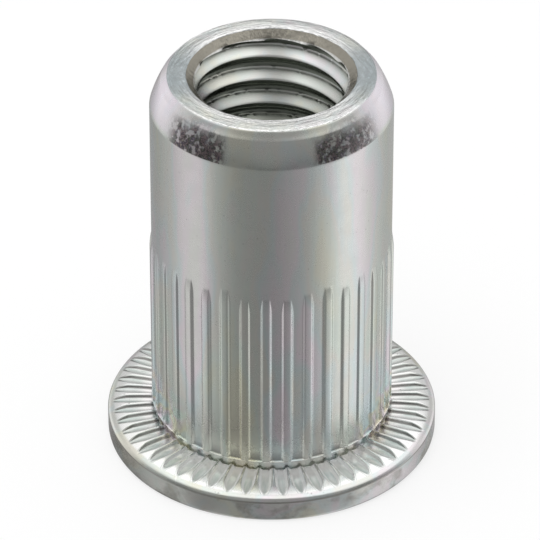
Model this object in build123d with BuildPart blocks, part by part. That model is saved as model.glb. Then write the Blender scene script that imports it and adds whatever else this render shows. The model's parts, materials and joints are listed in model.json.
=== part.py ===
from build123d import *
from math import radians, tan
import os

# Blind rivet nut for an M8 screw: flat flange, round body, knurled grip, open right through.
# It is cold formed as one piece of steel. Sizes are millimetres. The origin is the centre of
# the flange's flat underside, which is the side that the screw enters; +Z runs along the bore.

# ISO metric thread; the bore is cut at its minor diameter
thread_d = 8.0
thread_pitch = 1.25
thread_length = 8.03
minor_d_per_pitch = 1.0825

# Body and nose
body_d = 11.0
body_length = 17.88
nose_length = 1.6
nose_bulge = 0.03
lip_d = 10.06
lip_height = 0.53
lip_radius = 0.3
mouth_d = 7.66
mouth_chamfer = 0.05

# Thin-walled grip under the thread, open at the flange
grip_bore_d = 9.1
grip_cone_length = 1.1
entry_chamfer = 0.3

# Flange: its upper face falls a little outwards, then steeper over two bevels to the rim
flange_d = 15.3
flange_thickness = 1.5
foot_chamfer = 0.22
face_outer_d = 13.9
face_fall = 0.06
crown_d = 14.9
crown_fall = 0.12
rim_fall = 0.2

# Relief ring where the body meets the flange
relief_d = 10.84
relief_height = 0.35
relief_depth = 0.26
face_inner_d = 11.2

# Knurl on the grip: narrow raised ribs with wide flat valleys between them. The ribs fade into
# the body at the top, and the valleys stop short of the relief ring on a thin collar
knurl_d = 11.2
knurl_length = 9.4
knurl_fade = 0.7
knurl_collar = 0.06
rib_count = 36
valley_depth = 0.095
valley_floor = 0.46
valley_flank_angle = 45

# Serrations on the flange's upper face, whose floors widen outwards
serration_count = 54
serration_depth = 0.17
serration_inner_floor = 0.12
serration_outer_floor = 0.36
serration_flank_angle = 55

# One rib and one serration lie at this angle from +X
pattern_start = 267.4

# How far a cutter reaches past the surface that it cuts
overcut = 0.3

# Radii and heights that follow from the sizes above
minor_r = (thread_d - minor_d_per_pitch * thread_pitch) / 2
mouth_r = mouth_d / 2
grip_bore_r = grip_bore_d / 2
body_r = body_d / 2
lip_r = lip_d / 2
knurl_r = knurl_d / 2
relief_r = relief_d / 2
face_inner_r = face_inner_d / 2
face_outer_r = face_outer_d / 2
crown_r = crown_d / 2
flange_r = flange_d / 2
face_outer_z = flange_thickness - face_fall
crown_z = face_outer_z - crown_fall
rim_z = crown_z - rim_fall
collar_z = flange_thickness + relief_height
knurl_top_z = flange_thickness + knurl_length
nut_top_z = flange_thickness + body_length
shoulder_z = nut_top_z - nose_length
lip_z = nut_top_z - lip_height
thread_end_z = nut_top_z - thread_length
countersink_z = nut_top_z - (mouth_r - minor_r)


def groove_width(floor_width, height, flank_angle):
    """Width of a flat-floored groove at this height above its floor."""
    return floor_width + 2 * height / tan(radians(flank_angle))


# Cutter for one valley of the knurl
with BuildPart() as valley_cutter:
    valley_cut_height = valley_depth + overcut
    with BuildSketch(Plane.XY.offset(collar_z + knurl_collar)):
        with Locations((knurl_r + overcut, 0)):
            Trapezoid(
                groove_width(valley_floor, valley_cut_height, valley_flank_angle),
                valley_cut_height,
                valley_flank_angle,
                rotation=90,
                align=(Align.CENTER, Align.MIN),
            )
    extrude(amount=knurl_top_z - collar_z - knurl_collar)

# Cutter for one serration; it leaves the metal where the outer bevel falls below its floor
with BuildPart() as serration_cutter:
    serration_cut_height = serration_depth + overcut
    serration_start_r = (relief_r + face_inner_r) / 2
    for end_r, floor_width in (
        (serration_start_r, serration_inner_floor),
        (flange_r, serration_outer_floor),
    ):
        with BuildSketch(Plane.YZ.offset(end_r)):
            with Locations((0, flange_thickness + overcut)):
                Trapezoid(
                    groove_width(floor_width, serration_cut_height, serration_flank_angle),
                    serration_cut_height,
                    serration_flank_angle,
                    rotation=180,
                    align=(Align.CENTER, Align.MIN),
                )
    loft(ruled=True)

with BuildPart() as rivet_nut:
    with BuildSketch(Plane.XZ):
        with BuildLine():
            Polyline(
                (minor_r, countersink_z),
                (minor_r, thread_end_z),
                (grip_bore_r, thread_end_z - grip_cone_length),
                (grip_bore_r, 0),
                (flange_r, 0),
                (flange_r, rim_z),
                (crown_r, crown_z),
                (face_outer_r, face_outer_z),
                (face_inner_r, flange_thickness),
                (face_inner_r, flange_thickness - relief_depth),
                (relief_r, flange_thickness - relief_depth),
                (relief_r, collar_z),
                (knurl_r, collar_z),
                (knurl_r, knurl_top_z - knurl_fade),
                (body_r, knurl_top_z),
                (body_r, shoulder_z),
            )
            SagittaArc((body_r, shoulder_z), (lip_r, lip_z), -nose_bulge)
            Polyline(
                (lip_r, lip_z),
                (lip_r, nut_top_z),
                (mouth_r, nut_top_z),
                (minor_r, countersink_z),
            )
        make_face()
    revolve(axis=Axis.Z)

    # Edges broken by the forming dies
    rings = rivet_nut.edges().filter_by(GeomType.CIRCLE)
    top_rings = rings.group_by(Axis.Z)[-1].sort_by(SortBy.RADIUS)
    foot_rings = rings.group_by(Axis.Z)[0].sort_by(SortBy.RADIUS)
    fillet(top_rings[-1], lip_radius)
    chamfer(top_rings[0], mouth_chamfer)
    chamfer(foot_rings[0], entry_chamfer)
    chamfer(foot_rings[-1], foot_chamfer)

    first_valley = pattern_start + 180 / rib_count
    with PolarLocations(0, rib_count, start_angle=first_valley):
        add(valley_cutter.part, mode=Mode.SUBTRACT)
    with PolarLocations(0, serration_count, start_angle=pattern_start):
        add(serration_cutter.part, mode=Mode.SUBTRACT)
rivet_nut.part.label = "rivet_nut"

os.makedirs("parts", exist_ok=True)
export_step(rivet_nut.part, "parts/rivet_nut.step")
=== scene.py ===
import json
import math
import random

import bpy
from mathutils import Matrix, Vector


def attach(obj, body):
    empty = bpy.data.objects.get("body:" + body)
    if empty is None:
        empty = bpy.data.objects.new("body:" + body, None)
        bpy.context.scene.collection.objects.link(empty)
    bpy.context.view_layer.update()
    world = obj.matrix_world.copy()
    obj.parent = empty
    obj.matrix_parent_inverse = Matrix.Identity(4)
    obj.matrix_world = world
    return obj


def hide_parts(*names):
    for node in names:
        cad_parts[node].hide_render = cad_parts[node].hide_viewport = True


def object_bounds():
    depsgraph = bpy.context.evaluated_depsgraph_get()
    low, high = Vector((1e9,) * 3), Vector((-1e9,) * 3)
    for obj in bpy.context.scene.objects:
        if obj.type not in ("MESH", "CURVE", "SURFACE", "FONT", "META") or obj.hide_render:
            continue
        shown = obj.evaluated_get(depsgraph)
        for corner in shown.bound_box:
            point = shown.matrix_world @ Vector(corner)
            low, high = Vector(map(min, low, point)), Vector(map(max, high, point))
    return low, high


# A zinc-plated blind rivet nut standing on its flange, thread upwards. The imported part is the
# frame; the nut's skin is modelled again here with its helical thread, its rolled knurl and the
# pressed serrations of its flange. Sizes are millimetres until a mesh is made. A place round the
# nut is given in turns: 0 at the back, 0.25 on the left, 0.5 at the front, 0.75 on the right.

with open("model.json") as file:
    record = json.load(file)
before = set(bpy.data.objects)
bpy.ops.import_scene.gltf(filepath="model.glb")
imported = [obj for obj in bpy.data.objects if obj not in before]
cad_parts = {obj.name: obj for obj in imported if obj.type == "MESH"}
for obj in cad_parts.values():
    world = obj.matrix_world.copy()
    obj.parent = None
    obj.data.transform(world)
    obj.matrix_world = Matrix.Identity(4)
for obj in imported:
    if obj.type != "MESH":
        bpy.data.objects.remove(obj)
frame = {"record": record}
cad_low, cad_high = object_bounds()
random.seed(8)

MM = 0.001

# Outline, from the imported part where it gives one
NUT_TOP = cad_high.z / MM
FLANGE_R = min(-cad_low.x, cad_high.x, -cad_low.y, cad_high.y) / MM
MOUNTS = {mount["name"]: mount for mount in frame["record"]["mounts"]}
MINOR_R = MOUNTS["thread"]["dims"]["r_mm"]
GRIP_BORE_R = MOUNTS["grip_bore"]["dims"]["r_mm"]
BODY_R = MOUNTS["shank"]["dims"]["r_mm"]
FLANGE_TOP = 1.5

# Nose, from the mouth outwards. The lip is a list of steps: how far out from where its rounding
# starts, and how far below the rim. The body's rings are given by their depth below the shoulder
MOUTH_R = 3.83
MOUTH_EDGE = 0.05
RIM_RING_R = 4.1
LIP_R = 5.03
LIP_HEIGHT = 0.53
LIP_ROUND = 0.3
LIP_STEPS = ((-0.43, 0.003), (-0.25, 0.016), (-0.1, 0.03), (-0.05, 0.04), (-0.02, 0.06),
             (0.03, 0.12), (0.08, 0.185), (0.14, 0.26), (0.2, 0.33), (0.25, 0.385),
             (0.285, 0.43), (0.3, 0.465))
NOSE_LENGTH = 1.6
SHOULDER_Z = NUT_TOP - NOSE_LENGTH
SHOULDER_EDGE = 0.02
NOSE_BULGE = 0.03
NOSE_STEPS = 8
BODY_RINGS = (SHOULDER_EDGE, 0.1, 0.6, 2, 3.5, 5, 6, 6.5)

# Thread: one turn of its section as (way up from the crest, depth there). The clean flank rises
# as far as the burr's step; the dark root is above it. The groove starts a little under the
# mouth and takes its run-out to reach full depth
PITCH = 1.25
THREAD_PROFILE = ((0, 0), (0.07, 0.005), (0.11, 0.03), (0.17, 0.095), (0.25, 0.18), (0.33, 0.265),
                  (0.41, 0.35), (0.47, 0.41), (0.50, 0.43), (0.57, 0.475), (0.64, 0.56),
                  (0.74, 0.6), (0.86, 0.59), (0.97, 0.5), (1.07, 0.33), (1.19, 0.08))
BURR_STEP = 8
BURR = 0.04
CREST_AT_BACK = NUT_TOP - 1.33
THREAD_START = 0.36
RUN_OUT = 0.18
THREAD_END = NUT_TOP - 8.03

# Where each turn is left light, without painted shade, on its flank and on its burr, in shares
# of the pitch up from the crest; how the painted shade lifts towards the mouth; and how far out
# the bore below is left without painted shade
FLANK_FROM, FLANK_TO = (0.05, 0.09), (0.17, 0.45)
BURR_FROM, BURR_TO = (0.39, 0.4), (0.44, 0.47)
SHADE_LIFTS_UP = (NUT_TOP - 6.5, NUT_TOP - 1.2)
UNDER_THREAD_R = (MINOR_R + 0.75, MINOR_R + 0.85)

# The bore under the thread. Its cone stays plain from this far outside the thread's crests
GRIP_CONE = 1.1
CONE_PLAIN = 0.72
GRIP_RINGS = (3, 6, 9)
ENTRY_CHAMFER = 0.3
UNDERSIDE_RING_R = 6.0

# Knurl. Its ribs differ a little in height and in where they end. Its rings are given by their
# depth below the knurl's top
KNURL_R = 5.6
KNURL_TOP = FLANGE_TOP + 9.4
KNURL_FADE = 0.7
KNURL_COLLAR = 0.06
KNURL_RINGS = (-0.2, -0.12, -0.04, 0.04, 0.12, 0.2, 0.3, 0.42, 0.56, 0.72, 0.9, 3, 6)
RIB_WIDTH = 0.32
RIB_HEIGHT_CHANGE = 0.01
RIB_END_CHANGE = 0.18

# Flange: relief ring, falling face, crown, serrations, wall and foot. The finish reads the
# serrations' widths over their reach, and is pressed as far out as PRESSED_R
RELIEF_R = 5.4
RELIEF_TOP = FLANGE_TOP + 0.31
RELIEF_FLOOR = FLANGE_TOP - 0.26
FACE_INNER_R = 5.5
FACE_RINGS = (5.75, 6.1, 6.5)
FACE_OUTER_R = 6.8
CROWN = ((FACE_OUTER_R, 1.455), (6.95, 1.435), (7.1, 1.405), (7.25, 1.365), (7.38, 1.315),
         (7.48, 1.27), (7.56, 1.215), (7.61, 1.15))
SERRATION_FLOOR = FLANGE_TOP - 0.17
SERRATION_DEPTH_CHANGE = 0.015
SERRATION_WIDTHS = ((5.4, 0.3), (6.2, 0.36), (6.8, 0.36), (7.15, 0.22), (7.45, 0.03))
WIDTHS_FROM_R = 5.4
WIDTHS_REACH = 2
PRESSED_R = (7.3, 7.42)
WALL_DROP = 0.07
WALL_RINGS = (1.0, 0.6)
FOOT_ROUND = 0.22
FOOT_STEPS = 4

# Ribs and grooves: how much their toes and edges are rounded, the narrowest flank, and how far
# each one wanders to a side
TOE_ROUNDING = 0.25
EDGE_ROUNDING = 0.3
LEAST_FLANK = 0.012
WANDER = 0.012

# Angle of one rib and one serration, in degrees from +X
PATTERN_START = 267.4

# Columns round the nut: FINE where it is grooved, a third of that elsewhere
COARSE = 288
FINE = 3 * COARSE

# Faces that meet at more than this many degrees keep a sharp edge
SHARP_ANGLE = 38

# One long scratch down the flange's edge: its place round the nut at the foot, its slant, and
# half its width with and without its soft sides, in turns
SCRATCH_PLACE = 0.419
SCRATCH_SLANT = 0.0147
SCRATCH_SIDES = (0.0003, 0.0009)

# What the metal reflects, round from the front (0) to the back (1): the table, the walls of the
# room, and the soft boxes above them. Matt surfaces see the room's one level instead
TABLE_LEVELS = ((0, 0.28), (0.17, 0.34), (0.29, 0.54), (0.40, 1.0), (0.50, 0.95), (0.62, 0.65),
                (0.78, 0.48), (1, 0.52))
WALL_LEVELS = ((0, 0.17), (0.15, 0.26), (0.24, 0.3), (0.34, 0.2), (0.46, 0.42), (0.58, 0.75),
               (0.70, 1.0), (0.82, 0.8), (0.93, 0.4), (1, 0.36))
BOX_LEVELS = ((0, 0.22), (0.2, 0.4), (0.4, 1.0), (0.6, 1.2), (1, 1.25))
CEILING_LEVEL = 1.25
BACK_LEVEL = 0.6
FRONT_LEVEL = 0.27
TABLE_ON_LEFT = 0.74
BOXES_ON_LEFT = 0.8
ROOM_LEVEL = 0.85

# Where one part of the room gives way to the next, by the height of a direction's end: -1 is
# straight down, 0 level and 1 straight up. The dark skyline lies to both sides of level
WALLS_FROM = (-0.45, -0.15)
SKYLINE = (0.03, 0.17)
SKYLINE_ROUND = (0.5, 0.68)
BACK_FROM, BACK_ROUND = (0.08, 0.3), (0.6, 0.75)
BOXES_FROM = (0.52, 0.64)
CEILING_FROM = (0.72, 0.82)
DARK_FRONT = (0.80, 0.90)

# A painted contact shadow on the floor, seen only in the metal's reflections: how much of the
# table's light reaches the flange's wall, for places round the nut, and how far from the axis,
# in metres, that shade has gone
CONTACT_LEVELS = ((0, 0.9), (0.25, 0.85), (0.31, 0.62), (0.38, 0.62), (0.425, 0.55), (0.46, 1.0),
                  (0.54, 1.0), (0.585, 0.68), (0.62, 0.78), (0.66, 1.0), (0.7, 0.9), (1, 0.9))
CONTACT_REACH = (0.009, 0.0115)

# Zinc where it is plain, turned or countersunk; a pale tone for burnished scratches and for
# painted highlights; smudged; specked, a tone also used for painted shade; and the painted shade
# in the thread
ZINC = (0.74, 0.74, 0.72)
RIM_ZINC = (0.78, 0.79, 0.77)
COUNTERSINK_ZINC = (0.36, 0.34, 0.29)
BURNISH_AND_HIGHLIGHT = (0.96, 0.96, 0.95)
SMUDGE = (0.36, 0.34, 0.31)
SPECK_AND_CORNER_SHADE = (0.2, 0.19, 0.18)
THREAD_SHADE = (0.22, 0.24, 0.205)

# Tints of the passivation film by its thickness, and those that it has in one place only. The
# rim's blue stands for painted shade, and the grooves' white is partly a painted reflection
FILM_TINTS = ((0.30, (0.75, 0.72, 0.61)), (0.39, (0.76, 0.76, 0.63)), (0.45, (0.70, 0.76, 0.70)),
              (0.51, (0.75, 0.74, 0.69)), (0.56, (0.68, 0.76, 0.76)), (0.62, (0.80, 0.73, 0.77)),
              (0.70, (0.75, 0.75, 0.72)))
FOOT_TINTS = ((0.36, (0.58, 0.80, 0.77)), (0.45, (0.82, 0.68, 0.78)), (0.53, (0.86, 0.80, 0.56)),
              (0.61, (0.62, 0.84, 0.86)))
NOSE_LILAC = (0.86, 0.79, 0.87)
RIM_SIDE_SHADE = (0.42, 0.48, 0.5)
GROOVE_WHITE = (0.88, 0.86, 0.85)
GROOVE_GREEN = (0.53, 0.60, 0.57)

# Crystal patches on the nose, partly a painted reflection of dark surroundings: their tints, how
# far up they reach, and where they lie round it
CRYSTAL_AND_REFLECTION_TINTS = ((0.32, (0.52, 0.46, 0.38)), (0.42, (0.10, 0.09, 0.13)),
                 (0.48, (0.42, 0.34, 0.34)), (0.53, (0.07, 0.07, 0.08)),
                 (0.58, (0.30, 0.30, 0.26)), (0.63, (0.15, 0.13, 0.20)),
                 (0.7, (0.72, 0.66, 0.68)))
PATCH_TOP = SHOULDER_Z + 1.35
PATCH_TURNS = ((0.10, 0), (0.14, 1), (0.2, 1), (0.25, 0), (0.33, 0), (0.36, 1), (0.43, 1),
               (0.44, 0), (0.555, 0), (0.565, 1), (0.64, 0.8), (0.68, 0), (0.80, 0), (0.84, 1),
               (0.9, 1), (0.94, 0))

# Once round the body, and the front's place round the nut
BODY_GIRTH = 34.6
FRONT = 0.5

# Which finish a face has, in the order of the nut's materials
BODY_FINISH, RIM_FINISH, FLANGE_FINISH, BORE_FINISH = range(4)


def point(angle, radius, height):
    """A point of the skin in metres, from degrees and millimetres."""
    turn = math.radians(angle)
    return (radius * math.cos(turn) * MM, radius * math.sin(turn) * MM, height * MM)


def soft_max(a, b, blend):
    """The larger of two numbers, with a rounded change-over."""
    overlap = max(blend - abs(a - b), 0) / blend
    return max(a, b) + overlap * overlap * blend / 4


def arc(start, end, bulge, steps):
    """Points after start on an arc to end that bulges to the right of the way along."""
    chord = math.dist(start, end)
    radius = (chord * chord / 4 + bulge * bulge) / (2 * bulge)
    half_turn = math.asin(chord / 2 / radius)
    along = ((end[0] - start[0]) / chord, (end[1] - start[1]) / chord)
    side = (along[1], -along[0])
    middle = ((start[0] + end[0]) / 2, (start[1] + end[1]) / 2)
    points = []
    for step in range(1, steps + 1):
        turn = half_turn * (2 * step / steps - 1)
        forward = radius * math.sin(turn)
        out = radius * math.cos(turn) - radius + bulge
        points.append((middle[0] + along[0] * forward + side[0] * out,
                       middle[1] + along[1] * forward + side[1] * out))
    return points


class Skin:
    """Vertices and faces of the nut, laid down ring by ring from the mouth round to the mouth."""

    def __init__(self):
        self.points = []
        self.faces = []
        self.finishes = []
        self.finish = RIM_FINISH

    def ring(self, points):
        """Adds a ring of points and returns their numbers."""
        start = len(self.points)
        self.points += points
        return list(range(start, len(self.points)))

    def face(self, *corners):
        """Adds a face, leaving out corners that coincide."""
        kept = [c for n, c in enumerate(corners) if c != corners[n - 1]]
        if len(set(kept)) > 2:
            self.faces.append(kept)
            self.finishes.append(self.finish)

    def band(self, first, second):
        """Joins two rings of the same count."""
        count = len(first)
        for i in range(count):
            j = (i + 1) % count
            self.face(first[i], second[i], second[j], first[j])

    def lay(self, last, rings):
        """Adds rings of points, each joined to the one before; returns the last one's numbers."""
        for points in rings:
            ring = self.ring(points)
            self.band(last, ring)
            last = ring
        return last

    def widen(self, coarse, fine):
        """Joins a coarse ring to the finer one that follows it."""
        for i in range(COARSE):
            a, b = coarse[i], coarse[(i + 1) % COARSE]
            f = [fine[(3 * i + k) % FINE] for k in range(4)]
            self.face(a, f[0], f[1])
            self.face(a, f[1], f[2], b)
            self.face(b, f[2], f[3])

    def narrow(self, fine, coarse):
        """Joins a fine ring to the coarser one that follows it."""
        for i in range(COARSE):
            a, b = coarse[i], coarse[(i + 1) % COARSE]
            f = [fine[(3 * i + k) % FINE] for k in range(4)]
            self.face(f[0], a, f[1])
            self.face(f[1], a, b, f[2])
            self.face(f[2], b, f[3])


def between(stops, place):
    """Value at a place on a line through (place, value) stops."""
    last_place, last_value = stops[0]
    for stop, value in stops:
        if place <= stop:
            share = (place - last_place) / max(stop - last_place, 1e-9)
            return last_value + (value - last_value) * max(0, share)
        last_place, last_value = stop, value
    return last_value


class Pattern:
    """Straight flat-topped ribs, or flat-floored grooves, at even steps round the nut.

    The steps place the columns from the middle of one to halfway to the next: over half its
    width, down its flank, and over the land beyond.
    """

    def __init__(self, count, flank_angle, middle_steps, flank_steps, land_steps):
        self.count = count
        self.columns = FINE // count
        self.slope = 1 / math.tan(math.radians(flank_angle))
        self.middle_steps = middle_steps
        self.flank_steps = flank_steps
        self.land_steps = land_steps
        self.height_change = [random.uniform(-1, 1) for _ in range(count)]
        self.side_shift = [random.uniform(-1, 1) for _ in range(count)]
        self.end_change = [random.uniform(-1, 1) for _ in range(count)]

    def member(self, column):
        """Number of the rib or groove that a column belongs to, and the column's place in it."""
        number = (column + self.columns // 2) // self.columns
        return number % self.count, column - number * self.columns

    def section(self, column, radius, width, height):
        """Angle of a column, and the share of the height that the rib or groove has there."""
        number, place = self.member(column)
        half_pitch = math.pi * radius / self.count
        half_width = width / 2
        flank = max(height * self.slope, LEAST_FLANK)
        shoulder = half_width + self.flank_steps[-1] * flank
        across = [half_width * s for s in self.middle_steps]
        across += [half_width + flank * s for s in self.flank_steps]
        across += [shoulder + (half_pitch - shoulder) * s for s in self.land_steps]
        offset = across[abs(place)]
        down = (offset - half_width) / flank
        share = soft_max(0, 1 - soft_max(0, down, TOE_ROUNDING), EDGE_ROUNDING)
        shift = WANDER * self.side_shift[number] * (1 - offset / half_pitch)
        angle = PATTERN_START + 360 * round((column - place) / self.columns) / self.count
        return angle + math.degrees((math.copysign(offset, place) + shift) / radius), share


RIBS = Pattern(36, flank_angle=45, middle_steps=(0, 0.6),
               flank_steps=(0, 0.2, 0.45, 0.7, 0.9, 1.05, 1.3), land_steps=(0.2, 0.5, 0.8, 1))
SERRATIONS = Pattern(54, flank_angle=46, middle_steps=(0, 0.8),
                     flank_steps=(0.05, 0.35, 0.7, 1.0), land_steps=(0.15, 0.6, 1))


def plain_ring(count, radius, height):
    """Evenly spaced points of a level circle."""
    return [point(PATTERN_START + 360 * i / count, radius, height) for i in range(count)]


def plain_rings(count, outline):
    """A plain ring for each (radius, height) of an outline."""
    return [plain_ring(count, radius, height) for radius, height in outline]


def knurl_ring(valley_r, height):
    """Ring of the knurl; each rib fades into the body at its own height near the top."""
    points = []
    for i in range(FINE):
        number, _ = RIBS.member(i)
        rib_top = KNURL_TOP + RIB_END_CHANGE * RIBS.end_change[number]
        raised = min(1, max(0, (rib_top - height) / KNURL_FADE))
        raised = raised * (1.6 - 0.6 * raised)
        change = RIB_HEIGHT_CHANGE * RIBS.height_change[number]
        rib_r = BODY_R + (KNURL_R - BODY_R + change - RIB_HEIGHT_CHANGE) * raised
        rib_height = max(0, rib_r - valley_r)
        angle, share = RIBS.section(i, BODY_R, RIB_WIDTH, rib_height)
        points.append(point(angle, valley_r + rib_height * share, height))
    return points


def face_height(radius):
    """Height of the flange's upper face before it is serrated."""
    return between(((FACE_INNER_R, FLANGE_TOP),) + CROWN, radius)


def serrated_ring(radius, sink=0.0, up_wall=1):
    """Ring of the flange's face, or of the wall inside it, a share of the way up to the face."""
    points = []
    top = face_height(max(radius, FACE_INNER_R)) - sink
    for i in range(FINE):
        number, _ = SERRATIONS.member(i)
        floor_z = SERRATION_FLOOR + SERRATION_DEPTH_CHANGE * SERRATIONS.height_change[number]
        depth = max(0, top - floor_z)
        angle, share = SERRATIONS.section(i, radius, between(SERRATION_WIDTHS, radius), depth)
        height = top - depth * share
        if up_wall < 1:
            height = RELIEF_FLOOR + (height - RELIEF_FLOOR) * up_wall
        points.append(point(angle, radius, height))
    return points


def lay_nose(skin, mouth):
    """Rim, rounded lip, shoulder and the plain body, down to where the knurl starts."""
    lip_start = LIP_R - LIP_ROUND
    outline = [(MOUTH_R + MOUTH_EDGE * 0.4, NUT_TOP - MOUTH_EDGE * 0.3),
               (MOUTH_R + MOUTH_EDGE, NUT_TOP), (RIM_RING_R, NUT_TOP)]
    outline += [(lip_start + out, NUT_TOP - drop) for out, drop in LIP_STEPS]
    outline.append((LIP_R + 0.01, NUT_TOP - LIP_HEIGHT + 0.05))
    shoulder = (BODY_R - 0.008, SHOULDER_Z + SHOULDER_EDGE)
    outline += arc(outline[-1], shoulder, -NOSE_BULGE, NOSE_STEPS)
    outline += [(BODY_R, SHOULDER_Z - depth) for depth in BODY_RINGS]
    on_rim = sum(radius <= lip_start for radius, _ in outline)
    last = skin.lay(mouth, plain_rings(COARSE, outline[:on_rim]))
    skin.finish = BODY_FINISH
    return skin.lay(last, plain_rings(COARSE, outline[on_rim:]))


def lay_knurl(skin, last):
    """The knurled grip, down over its collar into the relief ring."""
    ring = skin.ring(plain_ring(FINE, BODY_R, KNURL_TOP + 0.25))
    skin.widen(last, ring)
    collar_z = RELIEF_TOP + KNURL_COLLAR
    outline = [(BODY_R, KNURL_TOP - depth) for depth in KNURL_RINGS]
    outline += [(BODY_R, RELIEF_TOP + 0.6), (BODY_R, collar_z + 0.03),
                (BODY_R + 0.015, collar_z + 0.01), (KNURL_R - 0.03, collar_z),
                (KNURL_R - 0.003, collar_z - 0.015), (KNURL_R - 0.008, RELIEF_TOP + 0.01),
                (KNURL_R - 0.04, RELIEF_TOP)]
    return skin.lay(ring, [knurl_ring(valley_r, height) for valley_r, height in outline])


def lay_flange(skin, last):
    """Relief ring, serrated face, crown, wall, foot and the edge of the underside."""
    relief = [(RELIEF_R, RELIEF_TOP - 0.01), (RELIEF_R, RELIEF_TOP - 0.2),
              (RELIEF_R, RELIEF_FLOOR + 0.03), (RELIEF_R + 0.03, RELIEF_FLOOR)]
    last = skin.lay(last, plain_rings(FINE, relief))
    skin.finish = FLANGE_FINISH
    last = skin.lay(last, [serrated_ring(FACE_INNER_R, up_wall=share) for share in (0, 0.6, 0.85)])
    face = [(FACE_INNER_R + 0.015, 0.03), (FACE_INNER_R + 0.05, 0.006)]
    face += [(radius, 0) for radius in FACE_RINGS + (FACE_OUTER_R,)]
    face += [(FACE_OUTER_R + 0.075 * step, 0) for step in range(1, 9)]
    face += [(radius, 0) for radius, _ in CROWN[5:]]
    last = skin.lay(last, [serrated_ring(radius, sink) for radius, sink in face])
    wall = [(FLANGE_R, CROWN[-1][1] - WALL_DROP)] + [(FLANGE_R, height) for height in WALL_RINGS]
    for step in range(FOOT_STEPS + 1):
        turn = math.radians(90 / FOOT_STEPS * step)
        wall.append((FLANGE_R - FOOT_ROUND * (1 - math.cos(turn)),
                     FOOT_ROUND * (1 - math.sin(turn))))
    last = skin.lay(last, plain_rings(FINE, wall))
    ring = skin.ring(plain_ring(COARSE, FLANGE_R - 0.6, 0))
    skin.narrow(last, ring)
    return ring


def lay_grip_bore(skin, last):
    """Underside, entry chamfer and grip bore, up to the foot of its cone."""
    entry_r = GRIP_BORE_R + ENTRY_CHAMFER
    outline = [(UNDERSIDE_RING_R, 0), (entry_r + 0.05, 0), (entry_r, 0.02)]
    heights = (ENTRY_CHAMFER,) + GRIP_RINGS + (THREAD_END - GRIP_CONE,)
    outline += [(GRIP_BORE_R, height) for height in heights]
    return skin.lay(last, plain_rings(COARSE, outline))


def lay_thread(skin, last, mouth):
    """Right-hand helical thread between the cone at its lower end and the countersunk mouth."""
    cone_slope = (GRIP_BORE_R - MINOR_R) / GRIP_CONE
    bottom_z = THREAD_END - CONE_PLAIN / cone_slope
    bottom_r = MINOR_R + (THREAD_END - bottom_z) * cone_slope
    bottom = skin.lay(last, [plain_ring(COARSE, bottom_r, bottom_z)])
    top_z = NUT_TOP - MOUTH_EDGE
    steps = len(THREAD_PROFILE)
    crest_at_start = CREST_AT_BACK + PITCH * (PATTERN_START - 90) / 360
    turns_below = math.ceil((crest_at_start - bottom_z) / PITCH) + 1
    turns = turns_below + math.ceil((top_z - crest_at_start) / PITCH) + 1
    rows = []
    for step in range(turns * steps):
        up, depth = THREAD_PROFILE[step % steps]
        level = crest_at_start + (step // steps - turns_below) * PITCH + up
        row = []
        for j in range(COARSE):
            if j % 3 == 0:
                burr = BURR * random.random() ** 2 if step % steps == BURR_STEP else 0
            height = level + PITCH * j / COARSE
            if height <= bottom_z:
                row.append(bottom[j])
                continue
            if height >= top_z:
                row.append(mouth[j])
                continue
            started = min(1, max(0, (top_z - THREAD_START - height) / RUN_OUT))
            radius = MINOR_R + (depth - burr) * started
            radius = soft_max(radius, MOUTH_R - (top_z - height), 0.03)
            radius = soft_max(radius, MINOR_R + (THREAD_END - height) * cone_slope, 0.04)
            row += skin.ring([point(PATTERN_START + 360 * j / COARSE, radius, height)])
        rows.append(row)
    for k in range(len(rows) - 1):
        for j in range(COARSE):
            if j < COARSE - 1:
                skin.face(rows[k][j], rows[k][j + 1], rows[k + 1][j + 1], rows[k + 1][j])
            elif k + 1 + steps < len(rows):
                skin.face(rows[k][j], rows[k + steps][0], rows[k + 1 + steps][0], rows[k + 1][j])


def make_nut(finishes):
    """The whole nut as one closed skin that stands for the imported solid."""
    skin = Skin()
    mouth = skin.ring(plain_ring(COARSE, MOUTH_R, NUT_TOP - MOUTH_EDGE))
    last = lay_nose(skin, mouth)
    last = lay_knurl(skin, last)
    last = lay_flange(skin, last)
    skin.finish = BORE_FINISH
    last = lay_grip_bore(skin, last)
    lay_thread(skin, last, mouth)
    mesh = bpy.data.meshes.new("nut_skin")
    mesh.from_pydata(skin.points, [], skin.faces)
    for finish in finishes:
        mesh.materials.append(finish)
    mesh.polygons.foreach_set("material_index", skin.finishes)
    mesh.polygons.foreach_set("use_smooth", [True] * len(skin.faces))
    mesh.validate()
    mesh.set_sharp_from_angle(angle=math.radians(SHARP_ANGLE))
    nut = bpy.data.objects.new("nut", mesh)
    bpy.context.collection.objects.link(nut)
    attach(nut, "root")
    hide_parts("rivet_nut")
    return nut


NUMBER, COLOUR, VECTOR = "NodeSocketFloat", "NodeSocketColor", "NodeSocketVector"


def fill(tree, node, values):
    """Links or sets a node's inputs, given by name or place; a colour needs no alpha."""
    for name, value in values.items():
        socket = node.inputs[name]
        if isinstance(value, bpy.types.NodeSocket):
            tree.links.new(value, socket)
        else:
            socket.default_value = (*value, 1) if socket.type == "RGBA" else value


def new_node(tree, kind, values, **settings):
    """Adds a node with these settings, then links or sets its inputs."""
    node = tree.nodes.new(kind)
    for name, setting in settings.items():
        setattr(node, name, setting)
    fill(tree, node, values)
    return node


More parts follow.
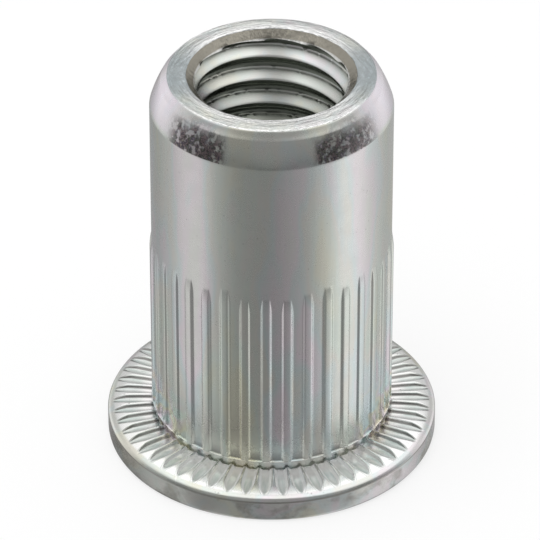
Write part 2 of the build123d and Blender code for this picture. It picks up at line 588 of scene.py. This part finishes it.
def new_group(name, inputs, outputs):
    """A shader node group, from its inputs' usual numbers and its outputs' kinds; returns its
    tree, input node and output node."""
    tree = bpy.data.node_groups.new(name, "ShaderNodeTree")
    for socket, value in inputs.items():
        made = tree.interface.new_socket(socket, in_out="INPUT", socket_type=NUMBER)
        made.default_value = value
    for socket, kind in outputs.items():
        tree.interface.new_socket(socket, in_out="OUTPUT", socket_type=kind)
    return tree, tree.nodes.new("NodeGroupInput"), tree.nodes.new("NodeGroupOutput")


def place_group(tree, group, **values):
    """Places a group with these values for its inputs; returns its outputs."""
    node = tree.nodes.new("ShaderNodeGroup")
    node.node_tree = group
    fill(tree, node, values)
    return node.outputs


def math_node(tree, operation, *values):
    """A Math node; each value is a number or a socket."""
    node = new_node(tree, "ShaderNodeMath", dict(enumerate(values)), operation=operation)
    return node.outputs[0]


def product(tree, first, second):
    return math_node(tree, "MULTIPLY", first, second)


def total(tree, value, factor, rest):
    """The value times the factor, plus the rest."""
    return math_node(tree, "MULTIPLY_ADD", value, factor, rest)


def distance(tree, value, middle):
    """How far a value is from a middle one, to either side."""
    return math_node(tree, "ABSOLUTE", math_node(tree, "SUBTRACT", value, middle))


def rise(tree, value, low, high):
    """A smooth step from 0 at low to 1 at high."""
    values = {"Value": value, "From Min": low, "From Max": high}
    node = new_node(tree, "ShaderNodeMapRange", values, interpolation_type="SMOOTHSTEP")
    return node.outputs[0]


def fall(tree, value, low, high, top=1):
    """A smooth step down by 1, from the top at low."""
    return math_node(tree, "SUBTRACT", top, rise(tree, value, low, high))


def noise(tree, place, scale, detail, roughness):
    values = {"Vector": place, "Scale": scale, "Detail": detail, "Roughness": roughness}
    return new_node(tree, "ShaderNodeTexNoise", values).outputs["Fac"]


def combine(tree, x, y, z):
    return new_node(tree, "ShaderNodeCombineXYZ", {0: x, 1: y, 2: z}).outputs[0]


def stretch(tree, place, factors):
    """A place with each of its lengths multiplied."""
    node = new_node(tree, "ShaderNodeVectorMath", {0: place, 1: factors}, operation="MULTIPLY")
    return node.outputs[0]


def blend(tree, share, first, second):
    """Mixes two numbers or sockets of numbers; a share of 1 gives the second."""
    node = new_node(tree, "ShaderNodeMix", {"Factor": share, "A": first, "B": second})
    return node.outputs[0]


def blend_colours(tree, share, first, second):
    """Mixes two colours or sockets of colours; a share of 1 gives the second."""
    node = new_node(tree, "ShaderNodeMix", {}, data_type="RGBA")
    fill(tree, node, {0: share, 6: first, 7: second})
    return node.outputs[2]


def ramp(tree, source, stops, interpolation="EASE"):
    """A colour ramp from (place, level) stops; a level is a grey or a colour."""
    node = new_node(tree, "ShaderNodeValToRGB", {0: source})
    node.color_ramp.interpolation = interpolation
    elements = node.color_ramp.elements
    while len(elements) < len(stops):
        elements.new(0.5)
    for element, (place, level) in zip(elements, stops):
        element.position = place
        element.color = (level,) * 3 + (1,) if isinstance(level, (int, float)) else (*level, 1)
    return node.outputs[0]


def place_axes(tree, coordinates):
    """X, Y and Z of a place."""
    return new_node(tree, "ShaderNodeSeparateXYZ", {0: coordinates}).outputs


def turns_round(tree, x, y):
    """Place round the nut, in turns."""
    turn = math_node(tree, "ARCTAN2", x, product(tree, y, -1))
    return total(tree, turn, 0.5 / math.pi, 0.5)


def distance_out(tree, x, y):
    """Distance out from the nut's axis."""
    return math_node(tree, "SQRT", total(tree, x, x, product(tree, y, y)))


def make_places():
    """Where a point lies on the nut: round it in turns; out from its axis, up, and as a whole in
    millimetres."""
    outputs = {"Round": NUMBER, "Out": NUMBER, "Up": NUMBER, "Place": VECTOR}
    tree, _, out = new_group("places on the nut", {}, outputs)
    where = tree.nodes.new("ShaderNodeTexCoord").outputs["Object"]
    place = new_node(tree, "ShaderNodeVectorMath", {0: where, "Scale": 1 / MM}, operation="SCALE")
    x, y, z = place_axes(tree, place.outputs[0])
    fill(tree, out, {"Round": turns_round(tree, x, y), "Out": distance_out(tree, x, y),
                     "Up": z, "Place": place.outputs[0]})
    return tree


def make_film(places):
    """Pale rainbow tints of the passivation film, drawn out along the nut."""
    inputs = {"Strength": 1.0, "Stretch": 0.25}
    tree, given, out = new_group("passivation film", inputs, {"Color": COLOUR})
    place = place_group(tree, places)["Place"]
    drawn = stretch(tree, place, combine(tree, 1, 1, given.outputs["Stretch"]))
    thickness = noise(tree, drawn, scale=0.42, detail=3, roughness=0.5)
    tint = ramp(tree, thickness, FILM_TINTS, "LINEAR")
    fill(tree, out, {"Color": blend_colours(tree, given.outputs["Strength"], ZINC, tint)})
    return tree


def make_grain(places):
    """Fine grain of the plating and faint lines along the nut from drawing the wire."""
    outputs = {"Height": NUMBER, "Roughness": NUMBER}
    tree, given, out = new_group("plating grain", {"Lines": 0.5}, outputs)
    around, _, up, place = place_group(tree, places)
    grain = noise(tree, place, scale=5, detail=2, roughness=0.5)
    around_mm = product(tree, around, BODY_GIRTH)
    drawn = combine(tree, product(tree, around_mm, 5), product(tree, up, 0.35), 0)
    lines = noise(tree, drawn, scale=1, detail=1, roughness=0.5)
    cloud = noise(tree, place, scale=1.1, detail=3, roughness=0.6)
    height = total(tree, lines, given.outputs["Lines"], product(tree, grain, 0.2))
    rough = total(tree, cloud, 0.16, product(tree, grain, 0.06))
    fill(tree, out, {"Height": height, "Roughness": rough})
    return tree


def make_turning(places):
    """Rings left by the tool on a face turned square to the axis."""
    tree, _, out = new_group("turning marks", {}, {"Height": NUMBER, "Mask": NUMBER})
    around, radius, _, _ = place_group(tree, places)
    ring = combine(tree, radius, product(tree, around, 3), 0)
    fine = noise(tree, ring, scale=9, detail=3, roughness=0.7)
    wide = noise(tree, ring, scale=2.6, detail=2, roughness=0.5)
    fill(tree, out, {"Height": total(tree, wide, 1.6, fine), "Mask": wide})
    return tree


def make_crystals_and_reflections(places):
    """Patches on the cone of the nose where the zinc crystals stand out dark and bright, partly a
    painted reflection of dark surroundings.
    """
    outputs = {"Color": COLOUR, "Mask": NUMBER, "Height": NUMBER}
    tree, _, out = new_group("crystal patches and painted reflections", {}, outputs)
    around, _, up, place = place_group(tree, places)
    cloud = noise(tree, place, scale=1.7, detail=3, roughness=0.6)
    ragged_up = total(tree, cloud, 1.2, up)
    on_cone = product(tree, rise(tree, up, SHOULDER_Z - 0.02, SHOULDER_Z + 0.05),
                      fall(tree, ragged_up, PATCH_TOP, PATCH_TOP + 0.8))
    patch = product(tree, ramp(tree, around, PATCH_TURNS), on_cone)
    crystals = noise(tree, place, scale=3.4, detail=3, roughness=0.55)
    tint = noise(tree, place, scale=2.4, detail=4, roughness=0.65)
    fill(tree, out, {"Color": ramp(tree, tint, CRYSTAL_AND_REFLECTION_TINTS, "LINEAR"),
                     "Mask": product(tree, patch, rise(tree, crystals, 0.36, 0.5)),
                     "Height": product(tree, patch, crystals)})
    return tree


def make_wear(places):
    """Small dark specks and pits, and a few fine scratches on a slant."""
    inputs = {"Specks": 0.5, "Scratches": 0.5}
    tree, given, out = new_group("handling wear", inputs, {"Dark": NUMBER, "Bright": NUMBER})
    place = place_group(tree, places)["Place"]
    pits = noise(tree, place, scale=7, detail=2, roughness=0.5)
    where = noise(tree, place, scale=0.8, detail=2, roughness=0.5)
    specks = product(tree, rise(tree, pits, 0.68, 0.74), rise(tree, where, 0.5, 0.62))
    slant = {"Vector": place, "Angle": 0.9, "Axis": (1, 0.4, 0)}
    slanted = new_node(tree, "ShaderNodeVectorRotate", slant).outputs[0]
    drawn = stretch(tree, slanted, (0.25, 6, 6))
    fibres = noise(tree, drawn, scale=1.4, detail=1, roughness=0.5)
    spread = noise(tree, place, scale=0.5, detail=1, roughness=0.5)
    scratches = product(tree, rise(tree, fibres, 0.72, 0.76), rise(tree, spread, 0.5, 0.6))
    fill(tree, out, {"Dark": product(tree, specks, given.outputs["Specks"]),
                     "Bright": product(tree, scratches, given.outputs["Scratches"])})
    return tree


def make_pressing(places):
    """Where the flange's face was pressed: the serrations, a line along their flanks, and the
    ridges left between them."""
    outputs = {"Groove": NUMBER, "Flank": NUMBER, "Ridge": NUMBER}
    tree, _, out = new_group("pressed serrations", {}, outputs)
    around, radius, up, _ = place_group(tree, places)
    count = SERRATIONS.count
    first = (PATTERN_START - 90) / 360 * count
    turns = total(tree, around, count, 0.5 - first)
    off_middle = distance(tree, math_node(tree, "FRACT", turns), 0.5)
    across = product(tree, product(tree, off_middle, radius), 2 * math.pi / count)
    start = -WIDTHS_FROM_R / WIDTHS_REACH
    widths = [(out_r / WIDTHS_REACH + start, width / 2) for out_r, width in SERRATION_WIDTHS]
    half_width = ramp(tree, total(tree, radius, 1 / WIDTHS_REACH, start), widths, "LINEAR")
    on_face = product(tree, rise(tree, up, FLANGE_TOP - 0.3, FLANGE_TOP - 0.22),
                      fall(tree, radius, *PRESSED_R))
    past_floor = math_node(tree, "SUBTRACT", across, half_width)
    flank = distance(tree, across, math_node(tree, "ADD", half_width, 0.05))
    fill(tree, out, {"Groove": product(tree, fall(tree, past_floor, 0.1, 0.16), on_face),
                     "Flank": product(tree, fall(tree, flank, 0.03, 0.08), on_face),
                     "Ridge": product(tree, rise(tree, past_floor, 0.12, 0.17), on_face)})
    return tree


def make_thread_shade(places):
    """Where the bore is left without painted shade: on the thread's upper flanks and its burrs
    near the mouth, and under the thread. The rest of the thread is painted darker, more so deeper
    down.
    Also the countersink, and the chatter that the tool left on it."""
    outputs = {"Unshaded": NUMBER, "Countersink": NUMBER, "Chatter": NUMBER}
    tree, _, out = new_group("painted shade in the thread", {}, outputs)
    around, radius, up, _ = place_group(tree, places)
    turns = total(tree, up, 1 / PITCH, -CREST_AT_BACK / PITCH)
    phase = math_node(tree, "FRACT", math_node(tree, "SUBTRACT", turns, around))
    # Painted shade: all of the thread is darkened except its upper flanks and burrs, and these
    # fade into it deeper down
    flank = product(tree, rise(tree, phase, *FLANK_FROM), fall(tree, phase, *FLANK_TO))
    burr = product(tree, rise(tree, phase, *BURR_FROM), fall(tree, phase, *BURR_TO, top=0.7))
    bright = math_node(tree, "MAXIMUM", flank, burr)
    bright = product(tree, bright, rise(tree, up, *SHADE_LIFTS_UP))
    under_thread = rise(tree, radius, *UNDER_THREAD_R)
    cone = MOUTH_R - NUT_TOP
    countersink = fall(tree, math_node(tree, "SUBTRACT", radius, up), cone + 0.07, cone + 0.1)
    marks = combine(tree, product(tree, around, 110), product(tree, up, 2), 0)
    marks = noise(tree, marks, scale=1, detail=3, roughness=0.6)
    fill(tree, out, {"Unshaded": math_node(tree, "MAXIMUM", bright, under_thread),
                     "Countersink": countersink, "Chatter": product(tree, marks, countersink)})
    return tree


def new_metal(name, roughness, bump_depth):
    """A metal with a bump; returns the material, its tree, its shader and its bump node."""
    material = bpy.data.materials.new(name)
    material.use_nodes = True
    tree = material.node_tree
    bump = new_node(tree, "ShaderNodeBump", {"Distance": bump_depth})
    shader = tree.nodes["Principled BSDF"]
    fill(tree, shader, {"Metallic": 1, "Roughness": roughness, "Normal": bump.outputs[0]})
    return material, tree, shader, bump


def zinc_on_body(places, film, grain, wear):
    """Zinc of the nose, the plain body and the knurl: tinted low down, lilac round the nose."""
    material, tree, shader, bump = new_metal("zinc_plating", 0.27, bump_depth=0.0000025)
    around, _, up, place = place_group(tree, places)
    film_strength = math_node(tree, "SUBTRACT", 1, product(tree, rise(tree, up, 7, 13), 0.3))
    colour = place_group(tree, film, Strength=film_strength)["Color"]
    off_front = distance(tree, around, FRONT)
    nose = product(tree, rise(tree, up, SHOULDER_Z, SHOULDER_Z + 0.3),
                   rise(tree, off_front, 0.1, 0.2))
    colour = blend_colours(tree, product(tree, nose, 0.7), colour, NOSE_LILAC)
    low_down = product(tree, rise(tree, off_front, 0.1, 0.16), fall(tree, up, 2.4, 5))
    foot_film = noise(tree, place, scale=0.8, detail=1, roughness=0.5)
    foot_tint = ramp(tree, foot_film, FOOT_TINTS, "LINEAR")
    colour = blend_colours(tree, product(tree, low_down, 0.6), colour, foot_tint)
    # Crystal patches, partly a painted reflection: their dark mottles stand for dark surroundings
    # mirrored in the nose
    patches = place_group(tree, make_crystals_and_reflections(places))
    colour = blend_colours(tree, patches["Mask"], colour, patches["Color"])
    marks = place_group(tree, wear, Specks=0.35, Scratches=0.3)
    colour = blend_colours(tree, marks["Dark"], colour, SPECK_AND_CORNER_SHADE)
    surface = place_group(tree, grain, Lines=1.0)
    rough = math_node(tree, "ADD", surface["Roughness"], 0.17)
    fill(tree, shader, {"Base Color": colour, "Roughness": rough})
    height = total(tree, patches["Height"], 6.0, surface["Height"])
    fill(tree, bump, {"Height": total(tree, marks["Bright"], 0.6, height)})
    return material


def zinc_on_rim(places, film):
    """Zinc of the turned rim: painted highlights along both edges, and a bluish painted shade at
    the sides.
    """
    material, tree, shader, bump = new_metal("zinc_on_turned_rim", 0.22, bump_depth=0.00008)
    around, radius, _, _ = place_group(tree, places)
    colour = place_group(tree, film, Strength=0.8, Stretch=1.0)["Color"]
    rings = place_group(tree, make_turning(places))
    colour = blend_colours(tree, rings["Mask"], colour, RIM_ZINC)
    lip_start = LIP_R - LIP_ROUND
    # Painted highlights along the mouth's edge and where the lip's rounding starts
    edge_highlights = math_node(tree, "MAXIMUM", fall(tree, radius, MOUTH_R + 0.2, MOUTH_R + 0.5),
                      rise(tree, radius, lip_start - 0.13, lip_start - 0.06))
    colour = blend_colours(tree, product(tree, edge_highlights, 0.85), colour, BURNISH_AND_HIGHLIGHT)
    # Painted shade, bluish, at the left and right sides of the rim; the front and back stay bright
    off_side = distance(tree, distance(tree, around, FRONT), 0.25)
    side_shade = product(tree, rise(tree, off_side, 0.03, 0.13), 0.8)
    side_shade = math_node(tree, "SUBTRACT", 0.8, side_shade)
    fill(tree, shader, {"Base Color": blend_colours(tree, side_shade, colour, RIM_SIDE_SHADE)})
    fill(tree, bump, {"Height": rings["Height"]})
    return material


def zinc_on_flange(places, film, grain, wear):
    """Zinc of the flange: a smudged wall with one scratch, a darker band round the top of its
    wall, painted highlights on the ridges, and grooves painted pale, partly as a painted
    reflection. In front the grooves are made less metallic to show lighter and carry a painted
    highlight along their flanks; away from the front their flanks carry a painted shade."""
    material, tree, shader, bump = new_metal("zinc_on_flange", 0.24, bump_depth=0.000003)
    around, radius, up, place = place_group(tree, places)
    colour = place_group(tree, film, Strength=0.7, Stretch=1.0)["Color"]

    off_scratch = math_node(tree, "SUBTRACT", around, SCRATCH_PLACE)
    off_scratch = math_node(tree, "ABSOLUTE", total(tree, up, SCRATCH_SLANT, off_scratch))
    scratch = product(tree, fall(tree, off_scratch, *SCRATCH_SIDES), rise(tree, radius, 7.3, 7.4))
    colour = blend_colours(tree, product(tree, scratch, 0.5), colour, BURNISH_AND_HIGHLIGHT)
    blotches = noise(tree, place, scale=0.55, detail=4, roughness=0.6)
    smudge = product(tree, rise(tree, blotches, 0.48, 0.62), fall(tree, up, 0.9, 1.2, top=0.65))
    colour = blend_colours(tree, smudge, colour, SMUDGE)

    pressed = place_group(tree, make_pressing(places))
    front = fall(tree, distance(tree, around, FRONT), 0.1, 0.2)
    streaks = combine(tree, product(tree, around, 260), product(tree, radius, 0.8), 0)
    streaks = rise(tree, noise(tree, streaks, scale=1, detail=2, roughness=0.6), 0.35, 0.65)
    # The grooves are painted pale, partly as a painted reflection, greener further out
    groove = blend_colours(tree, rise(tree, radius, 5.8, 6.5), GROOVE_WHITE, GROOVE_GREEN)
    groove = blend_colours(tree, product(tree, streaks, 0.55), groove, GROOVE_WHITE)
    colour = blend_colours(tree, product(tree, pressed["Groove"], 0.8), colour, groove)
    # Painted highlight along the serrations' flanks in front
    flank_highlight_in_front = product(tree, pressed["Flank"], front)
    colour = blend_colours(tree, product(tree, flank_highlight_in_front, 0.9), colour, BURNISH_AND_HIGHLIGHT)
    # Painted highlight on the ridges between the serrations
    colour = blend_colours(tree, product(tree, pressed["Ridge"], 0.85), colour, BURNISH_AND_HIGHLIGHT)

    brim = product(tree, rise(tree, up, 0.99, 1.04), fall(tree, up, 1.07, 1.12, top=0.7))
    brim = product(tree, brim, rise(tree, radius, 7.58, 7.63))
    colour = blend_colours(tree, brim, colour, SMUDGE)
    # Painted shade along the serrations' flanks away from the front
    flank_shade_off_front = product(tree, pressed["Flank"], total(tree, front, -0.8, 0.8))
    colour = blend_colours(tree, flank_shade_off_front, colour, SPECK_AND_CORNER_SHADE)
    marks = place_group(tree, wear, Specks=0.8, Scratches=1.0)
    colour = blend_colours(tree, marks["Dark"], colour, SPECK_AND_CORNER_SHADE)

    # Painted light: the grooves in front are made less metallic so that they show lighter
    lighter_in_front = product(tree, pressed["Groove"], front)
    surface = place_group(tree, grain, Lines=0.2)
    fill(tree, shader, {"Base Color": colour, "Metallic": total(tree, lighter_in_front, -0.42, 0.95),
                        "Roughness": math_node(tree, "ADD", surface["Roughness"], 0.1)})
    fill(tree, bump, {"Height": total(tree, marks["Bright"], 0.6, surface["Height"])})
    return material


def zinc_in_bore(places, film, grain):
    """Zinc of the bore, lifted towards a pale tone, with painted shade in the thread's roots and
    crests and deeper down; the upper flanks and burrs stay light.
    """
    material, tree, shader, bump = new_metal("zinc_in_bore", 0.26, bump_depth=0.000004)
    up = place_group(tree, places)["Up"]
    colour = place_group(tree, film, Strength=1.0, Stretch=1.0)["Color"]
    shade_in_bore = place_group(tree, make_thread_shade(places))
    # Lifted towards the pale tone, then darkened by painted shade in the thread's roots and crests
    # and deeper down
    colour = blend_colours(tree, 0.4, colour, BURNISH_AND_HIGHLIGHT)
    colour = blend_colours(tree, shade_in_bore["Unshaded"], THREAD_SHADE, colour)
    lower_edge = fall(tree, up, NUT_TOP - 0.40, NUT_TOP - 0.34)
    countersink = blend_colours(tree, lower_edge, COUNTERSINK_ZINC, ZINC)
    colour = blend_colours(tree, shade_in_bore["Countersink"], colour, countersink)
    fill(tree, shader, {"Base Color": colour})
    surface = place_group(tree, grain, Lines=0.0)
    fill(tree, bump, {"Height": total(tree, shade_in_bore["Chatter"], 12.0, surface["Height"])})
    return material


def zinc_finishes():
    """The same zinc on the body, the turned rim, the flange and the bore, in that order."""
    places = make_places()
    film, grain, wear = make_film(places), make_grain(places), make_wear(places)
    return (zinc_on_body(places, film, grain, wear), zinc_on_rim(places, film),
            zinc_on_flange(places, film, grain, wear), zinc_in_bore(places, film, grain))


def light_studio():
    """White backdrop, with a room round it that the metal reflects, and a lamp overhead."""
    world = bpy.data.worlds.new("studio")
    bpy.context.scene.world = world
    world.use_nodes = True
    tree = world.node_tree
    tree.nodes.clear()
    x, y, z = place_axes(tree, tree.nodes.new("ShaderNodeTexCoord").outputs["Generated"])
    turn = math_node(tree, "ARCTAN2", math_node(tree, "ABSOLUTE", x), product(tree, y, -1))
    turn = math_node(tree, "DIVIDE", turn, math.pi)
    left = rise(tree, product(tree, x, -1), -0.5, 0.5)

    table = product(tree, ramp(tree, turn, TABLE_LEVELS), blend(tree, left, 1, TABLE_ON_LEFT))
    skyline = product(tree, fall(tree, math_node(tree, "ABSOLUTE", z), *SKYLINE),
                      fall(tree, turn, *SKYLINE_ROUND, top=0.5))
    skyline = math_node(tree, "SUBTRACT", 1, math_node(tree, "MAXIMUM", skyline, 0))
    walls = product(tree, ramp(tree, turn, WALL_LEVELS), skyline)
    level = blend(tree, rise(tree, z, *WALLS_FROM), table, walls)
    back = product(tree, rise(tree, turn, *BACK_ROUND), rise(tree, z, *BACK_FROM))
    level = blend(tree, back, level, BACK_LEVEL)
    boxes = product(tree, ramp(tree, turn, BOX_LEVELS), blend(tree, left, 1, BOXES_ON_LEFT))
    level = blend(tree, rise(tree, z, *BOXES_FROM), level, boxes)
    level = blend(tree, rise(tree, z, *CEILING_FROM), level, CEILING_LEVEL)
    toward_front = total(tree, y, -0.84, product(tree, z, 0.54))
    level = blend(tree, rise(tree, toward_front, *DARK_FRONT), level, FRONT_LEVEL)

    ray = tree.nodes.new("ShaderNodeLightPath").outputs
    seen = blend(tree, ray["Is Glossy Ray"], ROOM_LEVEL, level)
    backdrop = math_node(tree, "MAXIMUM", seen, ray["Is Camera Ray"])
    glow = tree.nodes.new("ShaderNodeBackground")
    tree.links.new(backdrop, glow.inputs["Color"])
    out = tree.nodes.new("ShaderNodeOutputWorld")
    tree.links.new(glow.outputs[0], out.inputs["Surface"])

    lamp = bpy.data.lights.new("overhead_box", "AREA")
    lamp.shape = "DISK"
    lamp.size = 0.25
    lamp.energy = 0.35
    overhead_box = bpy.data.objects.new("overhead_box", lamp)
    overhead_box.location = (-0.05, -0.05, 0.3)
    overhead_box.rotation_euler = (0.15, -0.15, 0)
    overhead_box.visible_glossy = False
    overhead_box.visible_camera = False
    bpy.context.collection.objects.link(overhead_box)


def mix_shaders(tree, share, first, second):
    """Mixes two shaders; a share of 1 gives the second."""
    mix = new_node(tree, "ShaderNodeMixShader", {"Fac": share})
    tree.links.new(first.outputs[0], mix.inputs[1])
    tree.links.new(second.outputs[0], mix.inputs[2])
    return mix


def lay_floor():
    """Pale floor, with a painted contact shadow that only reflections see: what the metal reflects
    is darker where the floor lies close to the flange.
    """
    bpy.ops.mesh.primitive_plane_add(size=1.2, location=(0, 0, 0))
    floor = bpy.context.object
    floor.name = "floor"
    material = bpy.data.materials.new("pale_floor")
    material.use_nodes = True
    tree = material.node_tree
    matt = tree.nodes["Principled BSDF"]
    fill(tree, matt, {"Base Color": (0.9, 0.9, 0.9), "Roughness": 0.9})
    ray = tree.nodes.new("ShaderNodeLightPath").outputs
    white = tree.nodes.new("ShaderNodeEmission")
    seen = mix_shaders(tree, product(tree, ray["Is Camera Ray"], 0.7), matt, white)
    x, y, _ = place_axes(tree, tree.nodes.new("ShaderNodeTexCoord").outputs["Object"])
    # Painted contact shadow, seen only by glossy rays: darker near the flange, by an amount set
    # round the nut
    shade = ramp(tree, turns_round(tree, x, y), CONTACT_LEVELS)
    shade = blend(tree, rise(tree, distance_out(tree, x, y), *CONTACT_REACH), shade, 1)
    clear = tree.nodes.new("ShaderNodeBsdfTransparent")
    tree.links.new(shade, clear.inputs["Color"])
    surface = mix_shaders(tree, ray["Is Glossy Ray"], seen, clear)
    tree.links.new(surface.outputs[0], tree.nodes["Material Output"].inputs["Surface"])
    floor.data.materials.append(material)


def place_camera():
    """Long lens, looking down at the nut from in front."""
    elevation = math.radians(36.1)
    distance_away = 233.5
    aim_up = 5.91
    aim_across = -0.075
    data = bpy.data.cameras.new("camera")
    data.sensor_width = 36
    data.lens = 333
    data.clip_start = 0.01
    data.clip_end = 10
    camera = bpy.data.objects.new("camera", data)
    bpy.context.collection.objects.link(camera)
    across, up = math.cos(elevation), math.sin(elevation)
    eye = (0, -distance_away * across, FLANGE_TOP + distance_away * up)
    aim = (aim_across, aim_up * up, FLANGE_TOP + aim_up * across)
    way = [b - a for a, b in zip(eye, aim)]
    camera.location = [v * MM for v in eye]
    camera.rotation_euler = (math.atan2(math.hypot(way[0], way[1]), -way[2]), 0,
                             math.atan2(-way[0], way[1]))
    bpy.context.scene.camera = camera


make_nut(zinc_finishes())
light_studio()
lay_floor()
place_camera()
bpy.context.scene.view_settings.view_transform = "Standard"
